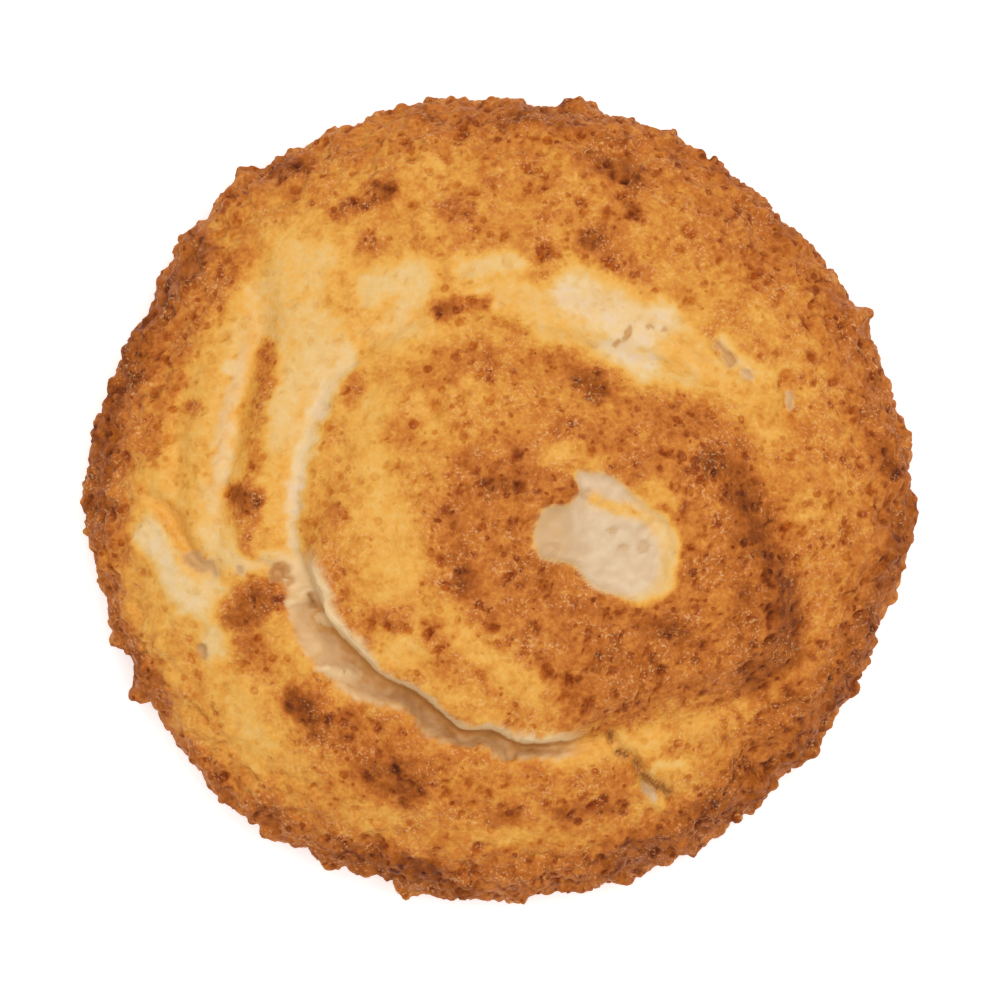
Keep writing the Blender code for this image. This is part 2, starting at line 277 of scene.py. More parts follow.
def fromSwirl(x, y):
    dx = x - swirl["centre"][0]
    dy = y - swirl["centre"][1]
    angle = np.degrees(np.arctan2(dy, dx)) % 360
    radius = np.hypot(dx, dy)
    return angle, radius, radius - around(swirl["radius"], angle)


# slides points towards the steep edge of the swirl, so that its wall keeps a clean line
def gathered(x, y):
    angle, radius, beyond = fromSwirl(x, y)
    steep = 1 - smoothStep(1.6, 3.2, around(swirl["edgeSlope"], angle))
    near = np.clip(np.abs(beyond) / swirl["gatherReach"], 0, 1)
    closer = np.sign(beyond) * swirl["gatherReach"] * near ** swirl["gatherStrength"]
    shift = np.where(near < 1, steep * (closer - beyond), 0.0) / np.maximum(radius, 1.0)
    return x + shift * (x - swirl["centre"][0]), y + shift * (y - swirl["centre"][1])


def swirlRise(x, y):
    angle, radius, beyond = fromSwirl(x, y)
    nearEdge = smoothStep(0.35, 0.9, radius / around(swirl["radius"], angle))
    edge = swirl["meanRise"] + nearEdge * (around(swirl["edgeRise"], angle) - swirl["meanRise"])
    inside = smoothStep(0.0, 1.0, -beyond / around(swirl["edgeSlope"], angle))
    crown = swirl["crown"] * np.clip(1 - (radius / form["meanRadius"] * 1.8) ** 2, 0, None)
    return inside * (edge + crown)


# the torn part of the gap, where the crevice shows its crumb
def tornShare(angle):
    return smoothStep(184, 191, angle) * (1 - smoothStep(272, 282, angle))


def gapCut(x, y):
    angle, _, beyond = fromSwirl(x, y)
    torn = tornShare(angle)
    flat = flatPoints(x, y)
    ragged = 0.5 * softNoise(flat, 2.1, (6, 0, 4)) + 0.3 * softNoise(flat, 0.8, (0, 9, 4))
    across = (beyond + torn * ragged) / around(swirl["gapWidth"], angle)
    inner = smoothStep(-0.9 + 0.8 * torn, 1.1 - 0.9 * torn, beyond)
    outer = smoothStep(0.35 - 0.1 * torn, 1.25 - 0.15 * torn, across)
    return -inner * (1 - outer) * around(swirl["gapDepth"], angle)


def creaseCut(x, y, halfWidth, depth, route):
    away, along = fromRoute(x, y, route)
    fade = np.sin(math.pi * np.clip(along, 0.06, 0.94)) ** 0.5
    return -depth * fade * np.exp(-((away / halfWidth) ** 2))


# how ragged the edges of the pockets are at each place
def pocketEdge(x, y):
    flat = flatPoints(x, y)
    return 0.6 * softNoise(flat, 1.5, (2, 5, 0)) + 0.4 * softNoise(flat, 0.8, (2, 8, 0))


# 0 in the middle of a pocket, about 1 at its ragged edge, more outside
def fromPocket(x, y, ragged, px, py, halfLength, halfWidth, turn):
    cx, cy = atPixel(px, py)
    cosine, sine = math.cos(math.radians(turn)), math.sin(math.radians(turn))
    along = (cosine * (x - cx) + sine * (y - cy)) / (halfLength * photo["mmPerPixel"])
    across = (cosine * (y - cy) - sine * (x - cx)) / (halfWidth * photo["mmPerPixel"])
    return np.hypot(along, across) + ragged


def blisterRise(x, y):
    rise = np.zeros_like(x)
    for cx, cy, radius, height in blisters:
        rise += height * np.exp(-(((x - cx) ** 2 + (y - cy) ** 2) / (0.6 * radius**2)))
    return rise


# 0 in the middle of the bare tip, 1 at its edge, more outside
def fromTip(x, y):
    dx = x - tip["centre"][0]
    dy = y - tip["centre"][1]
    return np.hypot(dx, dy) / around(tip["radius"], np.degrees(np.arctan2(dy, dx)))


def flatPoints(x, y):
    return np.stack([x, y, np.zeros_like(x)], axis=1)


def topRelief(x, y):
    relief = swirlRise(x, y) + gapCut(x, y) + blisterRise(x, y)
    bare = 1 - smoothStep(0.78, 1.02, fromTip(x, y))
    relief += bare * (tip["lumpHeight"] * softNoise(flatPoints(x, y), tip["lump"], (4, 9, 0)) - tip["depth"])
    for halfWidth, depth, route in creases.values():
        relief += creaseCut(x, y, halfWidth, depth, route)
    ragged = pocketEdge(x, y)
    for *place, depth, _ in pockets.values():
        relief -= depth * (1 - smoothStep(0.55, 1.1, fromPocket(x, y, ragged, *place)))
    return relief + form["topLumpHeight"] * softNoise(flatPoints(x, y), form["topLump"], (7, 0, 0))


# an open box of squares: the grid becomes the top, its extruded border the side, its floor the base
def crustBlank():
    rings = crustMesh["topRings"]
    bpy.ops.object.select_all(action="DESELECT")
    across = 2 * rings
    bpy.ops.mesh.primitive_grid_add(x_subdivisions=across, y_subdivisions=across, size=2, location=(0, 0, 0))
    crust = bpy.context.active_object
    crust.name = "coconutCrust"
    bpy.ops.object.mode_set(mode="EDIT")
    bpy.ops.mesh.select_mode(type="EDGE")
    bpy.ops.mesh.select_all(action="DESELECT")
    bpy.ops.mesh.select_non_manifold()
    for step in range(crustMesh["sideRings"]):
        bpy.ops.mesh.extrude_region_move(TRANSFORM_OT_translate={"value": (0, 0, -1 / rings)})
    bpy.ops.mesh.edge_face_add()
    bpy.ops.mesh.select_mode(type="FACE")
    for step in range(crustMesh["baseRings"]):
        bpy.ops.mesh.extrude_region_move(TRANSFORM_OT_translate={"value": (0, 0, -1 / rings)})
    bpy.ops.mesh.poke()
    bpy.ops.object.mode_set(mode="OBJECT")
    return crust


# where the points of a mesh are, or with kind "normal" which way they face
def getPoints(obj, kind="co"):
    points = np.empty(len(obj.data.vertices) * 3, np.float32)
    obj.data.vertices.foreach_get(kind, points)
    return points.reshape(-1, 3).astype(float)


def setPoints(obj, points):
    obj.data.vertices.foreach_set("co", points.astype(np.float32).ravel())
    obj.data.update()


def storeMask(obj, name, values):
    attribute = obj.data.attributes.new(name, "FLOAT", "POINT")
    attribute.data.foreach_set("value", np.asarray(values, np.float32))


# ring number and angle of each point of the blank
def ringAndAngle(blank):
    u, v, w = blank.T
    across = np.maximum(np.abs(u), np.abs(v))
    sideways = np.abs(u) >= np.abs(v)
    safeU = np.where(sideways & (u != 0), u, 1)
    safeV = np.where(~sideways, v, 1)
    angle = np.where(sideways, 45 * v / safeU, 90 - 45 * u / safeV)
    turned = np.where(sideways, u < 0, v < 0)
    ring = (across - w) * crustMesh["topRings"]
    return np.rint(ring).astype(int), (angle + 180 * turned) % 360


# lays the blank on the form of the solid
def layOnForm(blank):
    ring, angle = ringAndAngle(blank)
    lastSide = crustMesh["topRings"] + crustMesh["sideRings"]
    lastBase = lastSide + crustMesh["baseRings"] + 1
    ring[(np.hypot(blank[:, 0], blank[:, 1]) < 1e-4) & (blank[:, 2] < 0)] = lastBase
    share, height = sideProfile(lastSide)
    under = np.clip((ring - lastSide) / (lastBase - lastSide), 0, 1)
    row = np.minimum(ring, lastSide)
    share = share[row]
    z = height[row]
    radians = np.radians(angle)
    outward = np.stack([np.cos(radians), np.sin(radians), np.zeros_like(z)], axis=1)
    x, y = (outward[:, :2] * (share * outlineRadius(angle))[:, None]).T
    x, y = gathered(x, y)
    side = smoothStep(form["sideStarts"], 1.0, share)
    side[z < form["widestHeight"]] = 1.0
    aboveWidest = 1 - smoothStep(0.90, 1.0, share)
    aboveWidest[z < form["widestHeight"]] = 0.0
    points = np.stack([x, y, z + aboveWidest * topRelief(x, y)], axis=1)
    crag = softNoise(points, form["sideLump"]) + 0.6 * softNoise(points, form["sideLump"] / 2, (3, 0, 0))
    crag *= form["sideLumpHeight"]
    bulge = np.exp(-(((z - form["widestHeight"]) / form["prongHalfHeight"]) ** 2))
    points += outward * (side * (crag + bulge * prongLength(angle)))[:, None]
    points[:, 2] += form["sideLumpLift"] * side * aboveWidest * crag
    points[ring >= lastSide, 2] = 0.0
    points[:, :2] *= (1 - under)[:, None]
    return points, under, ring >= lastSide


# brings the form to the size and place of the solid
def fitToSolid(points):
    low, high = (np.array(corner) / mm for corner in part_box("macaroon"))
    scale = (high - low) / (points.max(axis=0) - points.min(axis=0))
    fitted = (points - points.min(axis=0)) * scale + low
    return fitted * (form["swell"], form["swell"], 1.0)


crust = crustBlank()
formPoints, under, onBase = layOnForm(getPoints(crust))
setPoints(crust, fitToSolid(formPoints) * mm)
print("crust laid on its form:", len(crust.data.vertices), "points")

# The crumb of the crust, from coarse to fine: whether its lumps are round, their size, the shift of the
# noise, and their height on top and on the side
crumbLayers = {
    "clusters": (True, 2.6, (0, 0, 0), 0.22, 0.50),
    "knobs": (True, 1.5, (4, 1, 0), 0.12, 0.34),
    "grains": (False, 0.8, (0, 6, 2), 0.07, 0.14),
}
# Holes where steam came out: how many, radius from and to, depth as a share of the radius
poreSizes = {"count": 1700, "smallest": 0.27, "largest": 0.62, "depth": 0.75, "seed": 11}


# the overhanging lip of the swirl above the crevice
def pushOutLip(crust):
    points = getPoints(crust) / mm
    x, y = formPoints[:, 0], formPoints[:, 1]
    angle, radius, beyond = fromSwirl(x, y)
    steep = 1 - smoothStep(1.2, 2.2, around(swirl["edgeSlope"], angle))
    ragged = 0.75 + 0.9 * softNoise(flatPoints(x, y), 1.7, (5, 2, 0))
    nearLip = smoothStep(-2.2, -0.9, beyond) * (1 - smoothStep(-0.75, -0.35, beyond))
    push = (1 - under) * swirl["lipOverhang"] * steep * nearLip * ragged / np.maximum(radius, 1)
    points[:, 0] += push * (x - swirl["centre"][0])
    points[:, 1] += push * (y - swirl["centre"][1])
    setPoints(crust, points * mm)


# how much a point belongs to the craggy side (1) or to the smoother top (0)
def sideShare(points):
    angle = np.degrees(np.arctan2(points[:, 1], points[:, 0])) % 360
    inward = outlineRadius(angle) - np.hypot(points[:, 0], points[:, 1])
    share = 1 - smoothStep(1.5, 9.0, inward)
    return np.where(points[:, 2] < form["widestHeight"], 1.0, share)


def addCrumb(crust, rawCrumb):
    points = getPoints(crust) / mm
    normals = getPoints(crust, "normal")
    side = sideShare(formPoints)
    relief = np.zeros(len(points))
    for isRound, size, shift, onTop, onSide in crumbLayers.values():
        if isRound:
            lumps = knobNoise(points, size, shift) - 0.6
        else:
            lumps = 2.0 * softNoise(points, size, shift)
        relief += (onTop + (onSide - onTop) * side) * lumps
    relief *= 1 - 0.5 * rawCrumb
    relief *= np.where(under > 0, 0.25, 1.0)
    points += normals * relief[:, None]
    points[onBase, 2] = np.clip(np.abs(points[onBase, 2]), 0, 0.12)
    points[:, 2] = np.maximum(points[:, 2], 0.0)
    setPoints(crust, points * mm)


# sinks seeded holes into the crust and returns how deep in a hole each point is, 0 to 1
def addPores(crust, density):
    draw = random.Random(poreSizes["seed"])
    points = getPoints(crust) / mm
    normals = getPoints(crust, "normal")
    tree = kdtree.KDTree(len(points))
    for i, place in enumerate(points.tolist()):
        tree.insert(place, i)
    tree.balance()
    depth = np.zeros(len(points))
    sunk = np.zeros(len(points))
    made = 0
    while made < poreSizes["count"]:
        i = draw.randrange(len(points))
        luck = draw.random()
        size = draw.random() ** 2.2
        turn = draw.random() * math.pi
        stretch = 1 + 0.9 * draw.random()
        if luck > density[i] or under[i] > 0:
            continue
        made += 1
        radius = poreSizes["smallest"] + size * (poreSizes["largest"] - poreSizes["smallest"])
        normal = Vector(normals[i])
        across = normal.orthogonal().normalized()
        along = normal.cross(across)
        first = across * math.cos(turn) + along * math.sin(turn)
        second = normal.cross(first)
        for place, j, _ in tree.find_range(points[i], radius * 2.2):
            offset = Vector(place) - Vector(points[i])
            q = math.hypot(offset.dot(first) / stretch, offset.dot(second)) / radius
            bowl = max(0.0, 1 - q * q) ** 1.5
            if bowl > depth[j]:
                depth[j] = bowl
                sunk[j] = bowl * radius * poreSizes["depth"]
    points -= normals * sunk[:, None]
    setPoints(crust, points * mm)
    return depth


# How brown the crust is, 0 pale to 1 darkest. First by direction, in degrees around the middle:
# the ring of paste, the rim at its edge, and how far in the rim's colour reaches
ringTone = {
    "ring": {0: 0.51, 30: 0.45, 60: 0.46, 88: 0.48, 110: 0.43, 135: 0.33, 160: 0.31, 185: 0.31, 205: 0.35,
             230: 0.43, 260: 0.50, 290: 0.46, 320: 0.45, 345: 0.50},
    "rim": {0: 0.70, 30: 0.60, 60: 0.60, 90: 0.63, 112: 0.55, 130: 0.62, 147: 0.70, 165: 0.73, 180: 0.76,
            200: 0.66, 215: 0.63, 235: 0.66, 255: 0.74, 275: 0.67, 300: 0.74, 320: 0.77, 342: 0.74},
    "reach": {0: 8.5, 30: 9.0, 60: 9.5, 90: 7.0, 115: 5.0, 145: 6.5, 165: 7.8, 185: 7.2, 205: 4.8, 230: 5.8,
              260: 6.5, 285: 6.5, 315: 9.0, 340: 8.0},
}
capTone = {"edge": 0.40, "middle": 0.60, "middleAt": (590, 565), "middleReach": 215}
sideTone = {"middle": 0.62, "patches": 0.16, "foot": 0.12, "base": 0.70}
# The pale edges of the bare crumb, and how uneven the browning is: size, strength and shift of the noise
edgeTone = {"crevice": 0.22, "creviceStrength": 0.2, "tip": 0.16}
uneven = {"patches": (2.6, 0.09, (2, 2, 0)), "specks": (1.2, 0.075, (4, 2, 0))}

# Then by name: tone, half width in pixels, feather in pixels and route in the photograph's pixels
paleMarks = {
    "furrow above the swirl": (0.10, 26, 20, ((575, 295), (625, 318), (665, 340))),
    "furrow's end": (0.25, 16, 20, ((665, 345), (700, 360), (735, 375))),
    "furrow's lower edge": (0.20, 10, 12, ((545, 325), (590, 345), (640, 368), (690, 382))),
    "furrow's west": (0.22, 13, 18, ((478, 296), (520, 300), (555, 316), (588, 336))),
    "furrow's white, left": (0.05, 9, 12, ((568, 296), (582, 302), (590, 310))),
    "furrow's white": (0.05, 15, 10, ((612, 322), (640, 332), (664, 316))),
    "furrow's white, low": (0.04, 10, 12, ((608, 346), (632, 358), (645, 362))),
    "upper cap yellow": (0.24, 12, 16, ((375, 335), (425, 330))),
    "swirl's south yellow": (0.34, 13, 18, ((435, 612), (470, 640), (500, 662), (530, 690))),
    "lip end step": (0.07, 9, 7, ((552, 743), (572, 751), (590, 757))),
    "crack's ledge": (0.14, 10, 6, ((622, 734), (640, 731), (655, 740))),
    "crack's foot": (0.08, 7, 9, ((648, 780), (656, 800))),
    "crack's ledge, low": (0.13, 8, 7, ((658, 770), (684, 766))),
    "upper right crack's cream": (0.20, 7, 9, ((722, 343), (746, 370), (768, 386))),
    "furrow's start": (0.17, 9, 14, ((465, 268), (515, 266))),
    "west furrow": (0.04, 9, 6, ((352, 352), (322, 400), (306, 450), (298, 500), (296, 545), (303, 572))),
    "west furrow's shoulder": (0.16, 22, 18, ((300, 318), (325, 345), (285, 395), (282, 430))),
    "upper cream": (0.16, 14, 18, ((375, 290), (420, 275), (400, 315))),
    # the fold's pale streaks are partly its pale crumb and partly painted light on the fold's lit flank
    "fold streak's top": (
        0.17, 9, 10, ((247, 252), (246, 275), (262, 300), (282, 294), (304, 276), (333, 252)),
    ),
    "fold streak": (
        0.10, 7, 6, ((262, 318), (252, 345), (240, 368), (233, 395), (229, 425), (226, 455), (219, 485)),
    ),
    "fold streak's foot": (0.17, 11, 14, ((207, 495), (216, 530), (226, 556))),
    "upper left yellow": (0.21, 24, 26, ((300, 262), (262, 330))),
    "left cream": (0.08, 15, 11, ((150, 530), (165, 560), (184, 590), (200, 600))),
    "left crack's cream": (0.14, 6, 8, ((215, 545), (238, 560), (262, 560), (290, 556))),
    "left lower yellow": (0.36, 12, 18, ((140, 575), (150, 615), (185, 665))),
    "left lower yellow, far": (0.43, 12, 18, ((195, 690), (228, 745))),
    "left crack's foot": (0.13, 12, 12, ((214, 585), (222, 615), (216, 645))),
    "left ring": (0.30, 16, 20, ((178, 440), (178, 500))),
    "swirl's yellow west": (0.30, 16, 20, ((372, 405), (372, 470), (392, 535), (402, 575))),
    "swirl's yellow foot": (0.32, 13, 16, ((380, 655), (410, 645))),
    "swirl's low yellow": (0.38, 13, 18, ((450, 692), (485, 708))),
    "lower left yellow": (0.28, 18, 20, ((240, 700), (262, 745))),
    "below the swirl": (0.30, 12, 14, ((565, 757), (600, 752), (645, 738))),
    "below the swirl, right": (0.37, 12, 16, ((670, 722), (710, 708))),
    "right ring, top": (0.36, 10, 16, ((750, 415), (765, 445))),
    "right ring": (0.46, 10, 16, ((785, 475), (800, 508))),
    "lower right patch": (0.42, 10, 14, ((640, 800), (665, 785), (690, 780))),
    "bottom patch": (0.38, 12, 14, ((360, 815), (388, 812))),
    "bottom strip": (0.40, 7, 12, ((475, 833), (515, 835))),
    "top patch": (0.40, 10, 14, ((420, 168), (462, 172))),
    "top right patch": (0.40, 8, 12, ((552, 160), (570, 166))),
    "upper right yellow": (0.34, 12, 16, ((745, 392), (775, 398))),
}
brownMarks = {
    "rim, upper left": (0.78, 13, 18, ((205, 250), (160, 313), (128, 365), (105, 425))),
    "rim, bottom middle": (0.70, 9, 12, ((560, 868), (602, 866))),
    "upper left shoulder, top": (0.50, 12, 18, ((235, 225), (275, 205), (330, 190))),
    "rim, bottom right": (0.74, 8, 12, ((632, 868), (682, 850))),
    "rim, left": (0.80, 8, 14, ((97, 460), (94, 505))),
    "upper left shoulder": (0.57, 12, 18, ((245, 255), (210, 300), (180, 345), (160, 395), (148, 440))),
    "rim, left low": (0.72, 8, 12, ((95, 560), (106, 612), (130, 660), (150, 690))),
    "rim, lower right": (0.76, 12, 20, ((825, 700), (790, 745), (740, 795), (690, 832), (620, 860))),
    "rim, lower right inner": (0.66, 12, 18, ((800, 690), (770, 740))),
    "rim, bottom": (0.80, 9, 12, ((345, 855), (400, 862), (450, 882))),
    "rim, lower left": (0.74, 8, 14, ((270, 812), (290, 828))),
    "rim, right": (0.67, 10, 16, ((855, 320), (880, 380), (898, 440))),
    "rim, right low": (0.79, 9, 14, ((905, 530), (885, 590), (872, 640), (843, 705))),
    "rim, right dark": (0.84, 9, 10, ((887, 455), (893, 465))),
    "rim, upper right": (0.66, 12, 18, ((690, 150), (745, 190), (790, 240))),
    "rim, upper right inner": (0.60, 14, 16, ((715, 240), (770, 280))),
    "rim, top": (0.74, 9, 12, ((515, 114), (575, 118))),
    "rim, top left": (0.76, 6, 10, ((425, 110), (435, 114))),
    "top arc": (0.51, 20, 24, ((500, 205), (570, 195), (640, 215), (690, 245))),
    "top arc, dark": (0.82, 9, 12, ((598, 158), (625, 172), (640, 178))),
    "top arc, spot": (0.72, 6, 10, ((632, 205), (634, 212))),
    "upper blister": (0.86, 9, 10, ((380, 190), (388, 188))),
    "upper blister's tail": (0.66, 6, 10, ((372, 196), (345, 210))),
    "upper left spot": (0.80, 9, 12, ((282, 170), (298, 164))),
    "upper middle spot": (0.64, 7, 10, ((448, 208), (475, 211))),
    "small upper spot": (0.62, 8, 10, ((370, 240), (376, 243))),
    "right upper blister": (0.78, 12, 12, ((596, 242), (612, 252))),
    "right upper blister's tail": (0.62, 8, 12, ((615, 258), (640, 272))),
    "top little spot": (0.62, 5, 8, ((545, 253), (551, 253))),
    "swirl's north spot": (0.74, 8, 10, ((440, 313), (455, 307))),
    "swirl's north tail": (0.58, 5, 8, ((465, 304), (485, 304))),
    "little west spot": (0.56, 4, 8, ((355, 397), (360, 378))),
    "fold spot": (0.58, 7, 9, ((269, 352), (265, 388))),
    # the fold ridge is partly browning and partly painted shade on the fold's flank
    "fold ridge": (0.48, 6, 10, ((262, 400), (257, 440), (253, 475))),
    "fold blister": (0.84, 13, 11, ((243, 494), (251, 502), (249, 514))),
    "fold blister's tail": (0.54, 6, 9, ((251, 526), (252, 546))),
    "left small spot": (0.56, 6, 8, ((192, 408), (196, 410))),
    "west cap spots": (0.60, 7, 8, ((336, 512), (340, 515))),
    "west cap low": (0.60, 11, 12, ((326, 574), (342, 578))),
    "west cap edge": (0.50, 14, 18, ((322, 530), (335, 600), (365, 640))),
    "west cap inner": (0.52, 9, 12, ((395, 440), (415, 436))),
    "low cap streak": (0.60, 7, 10, ((375, 612), (402, 622))),
    "low cap streak, right": (0.58, 9, 12, ((432, 632), (448, 655))),
    "bridge": (0.66, 9, 10, ((262, 590), (282, 598))),
    "left blister": (0.77, 20, 14, ((243, 612), (262, 600))),
    "left blister's foot": (0.60, 10, 14, ((252, 645), (270, 665))),
    "tilted blister": (0.93, 14, 10, ((302, 700), (322, 725))),
    "lower brown field": (0.64, 26, 22, ((345, 728), (375, 760), (420, 782))),
    "lower brown field, right": (0.55, 14, 20, ((385, 715), (430, 738), (450, 752))),
    "lower brown spot": (0.80, 13, 14, ((385, 768), (420, 788))),
    "lower dot": (0.88, 5, 8, ((502, 811), (504, 811))),
    "lower dot's halo": (0.62, 12, 14, ((495, 808), (512, 812))),
    "lower right streak": (0.72, 8, 12, ((560, 812), (595, 805), (625, 800))),
    "lower ring orange": (0.52, 12, 18, ((430, 815), (480, 790), (560, 785), (620, 775))),
    "swirl's top": (0.57, 14, 16, ((522, 366), (570, 366), (606, 385))),
    "swirl's top spot": (0.80, 10, 12, ((578, 380), (600, 388))),
    "swirl's top west": (0.56, 14, 16, ((440, 372), (490, 362))),
    "swirl's top left spot": (0.66, 6, 8, ((489, 358), (491, 366))),
    "inner west": (0.65, 16, 14, ((470, 460), (498, 474), (518, 466))),
    "inner west, dark": (0.78, 6, 8, ((492, 478), (516, 492))),
    "inner ring": (0.63, 18, 16, ((458, 510), (463, 550), (482, 580))),
    "inner ring spot": (0.82, 8, 9, ((465, 580), (470, 582))),
    "inner ring, low": (0.63, 14, 14, ((495, 545), (515, 560))),
    "under the tip": (0.64, 20, 18, ((560, 600), (600, 620), (640, 640))),
    "low brown": (0.86, 14, 14, ((612, 668), (655, 680))),
    "low brown tail": (0.64, 13, 14, ((585, 705), (625, 708))),
    "low brown, right": (0.79, 12, 12, ((665, 625), (682, 640))),
    "low brown field": (0.63, 24, 22, ((600, 690), (680, 680), (740, 670))),
    "north east band": (0.63, 20, 18, ((660, 412), (695, 422), (730, 444))),
    "east dark, top": (0.82, 13, 14, ((708, 460), (735, 470))),
    "east dark": (0.86, 16, 16, ((745, 500), (762, 545), (782, 590), (785, 635))),
    "east dark, low": (0.81, 14, 16, ((790, 650), (748, 675))),
    "east brown": (0.71, 16, 16, ((742, 550), (748, 595), (744, 640))),
    "tip's north": (0.60, 8, 14, ((628, 440), (668, 462))),
    "above the tip": (0.38, 11, 14, ((554, 452), (588, 458))),
    "beside the tip": (0.36, 7, 12, ((648, 492), (670, 503))),
}


# Egg-yellow paste over the bare tip: tone, half width, feather and route
tipYellow = {
    "streak": (0.25, 6, 5, ((596, 500), (612, 508), (634, 512), (655, 522))),
    "right side": (0.15, 4, 12, ((664, 528), (674, 548), (672, 584))),
}


# How dark the bare crumb's colour is, 0 palest to 1, where the value under the lip and the dark values of
# hollows and cracks are painted shade, and the shade from which a crack takes the warmer tint
bareShade = {
    "lip": 0.03, "creviceStart": 0.06, "crevice": 0.46, "creviceFarEnd": 0.08, "shadowUnderLip": 0.22,
    "creviceDarkest": 0.80, "creviceSpread": 0.08, "lipSpread": 0.03,
    "tip": 0.16, "tipLumps": 0.10, "tipWest": 0.32, "tipPalest": 0.06, "tipDarkest": 0.60,
    "warmFrom": 0.93,
}


# the share that a mark covers, 1 on its route and 0 beyond its feather, with a ragged edge
def markShare(x, y, halfWidth, feather, route, ragged):
    places = [atPixel(*place) for place in route]
    away = fromRoute(x, y, places)[0] + ragged
    reach = (halfWidth + feather) * photo["mmPerPixel"]
    return 1 - smoothStep(0.35 * halfWidth * photo["mmPerPixel"], reach, away)


# bare pale crumb: the crevice, the lip over it, the tip's hollow and the pockets. The other results are how
# dark its colour is, with painted shade under the lip and in the hollows and cracks, and how much it takes
# the cooler tint, which deep cracks and raised crumbs lack
def crumbShare(x, y):
    flat = flatPoints(x, y)
    angle, radius, beyond = fromSwirl(x, y)
    wobble = 0.55 * softNoise(flat, 1.9, (1, 8, 0)) + 0.4 * softNoise(flat, 0.7, (2, 9, 0))
    width = around(swirl["gapWidth"], angle)
    lipEdge = -around(swirl["lipBand"], angle)
    across = (beyond + wobble) / width
    crevice = tornShare(angle) * smoothStep(lipEdge - 0.25, lipEdge + 0.25, beyond + 0.5 * wobble)
    crevice *= 1 - smoothStep(0.95, 1.08, across)
    spread = softNoise(flat, 1.4, (3, 3, 0))
    shade = bareShade["crevice"] + bareShade["creviceFarEnd"] * smoothStep(205, 236, angle)
    # painted shade under the overhanging lip: the crumb is darker close to the lip
    shade += bareShade["shadowUnderLip"] * (1 - smoothStep(0.1, 0.6, across)) + bareShade["creviceSpread"] * spread
    shade = np.clip(shade, bareShade["crevice"], bareShade["creviceDarkest"])
    shade = bareShade["creviceStart"] + smoothStep(193, 201, angle) * (shade - bareShade["creviceStart"])
    shade = np.where(beyond < -0.1, bareShade["lip"] + bareShade["lipSpread"] * spread, shade)
    east = smoothStep(0.0, 4.0, x - tip["centre"][0])
    hollow = 1 - smoothStep(0.88 - 0.14 * east, 1.0 - 0.05 * east, fromTip(x, y) + 0.03 * wobble)
    for _, halfWidth, feather, route in tipYellow.values():
        hollow *= 1 - markShare(x, y, halfWidth, feather, route, 0.5 * wobble)
    lumps = softNoise(flat, 2.4, (4, 4, 0)) + 0.6 * softNoise(flat, 1.0, (4, 7, 0))
    west = smoothStep(-1.5, -5.5, x - tip["centre"][0])
    tipShade = bareShade["tip"] + bareShade["tipLumps"] * lumps + bareShade["tipWest"] * west
    tipShade = np.clip(tipShade, bareShade["tipPalest"], bareShade["tipDarkest"])
    shade = np.where(hollow > 0, tipShade, shade)
    cool = (hollow > 0).astype(float)
    share = np.maximum(crevice, hollow)
    ragged = pocketEdge(x, y)
    # painted shade in the hollows and cracks: each pocket sets how dark its crumb is
    for *place, depth, pocketShade in pockets.values():
        torn = 1 - smoothStep(0.75, 1.2, fromPocket(x, y, ragged, *place))
        shade += torn * (pocketShade - shade)
        cool += torn * (float(depth > 0 and pocketShade < bareShade["warmFrom"]) - cool)
        share = np.maximum(share, torn)
    return share, shade, cool


